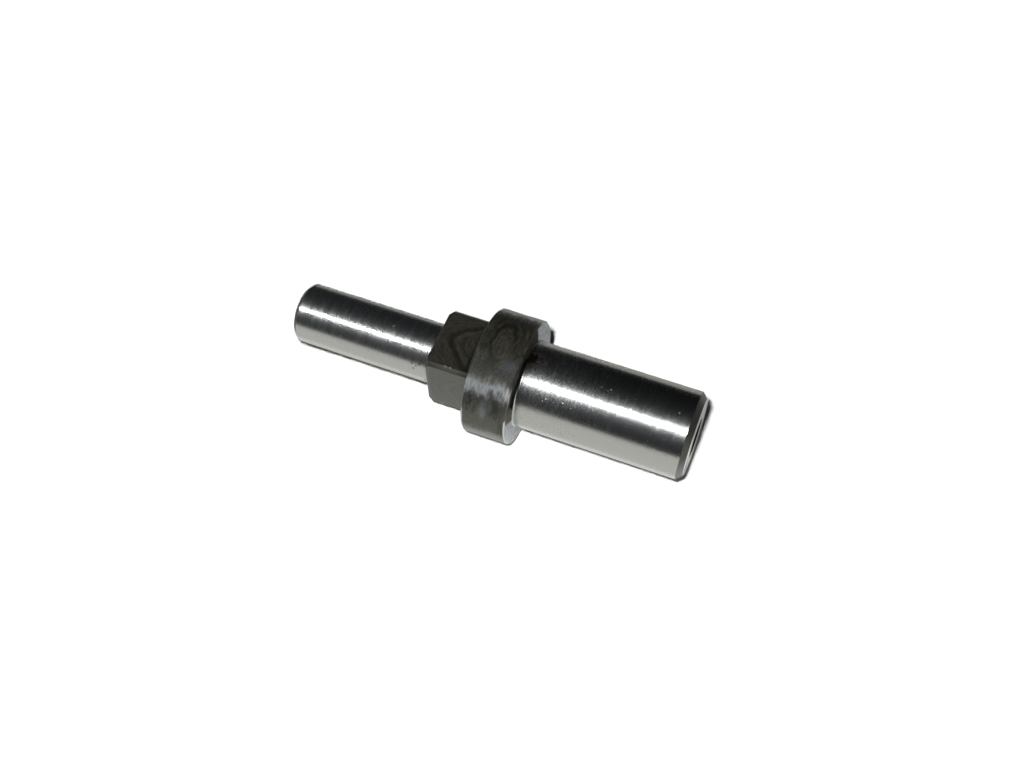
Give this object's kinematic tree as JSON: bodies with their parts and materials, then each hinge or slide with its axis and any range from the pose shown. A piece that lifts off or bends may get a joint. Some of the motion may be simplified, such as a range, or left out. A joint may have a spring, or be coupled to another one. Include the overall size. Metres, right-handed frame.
{
  "type": "meat grinder blade pin",
  "caption": "Stepped steel pin of a meat grinder: a thick ground shank, a round collar, a square seat for the knife and a thinner ground journal on one axis.",
  "frame": {"origin": "centre of the shank's end face, which the pin stands on", "axes": "+Z along the pin from the shank to the journal; X and Y square to the flats of the knife seat"},
  "size_m": [0.0248, 0.0248, 0.0811],
  "materials": {
    "steel": "ground on the shank and journal, turned and milled on the collar and square"
  },
  "bodies": {
    "root": {"blade_pin": "steel"}
  },
  "joints": []
}
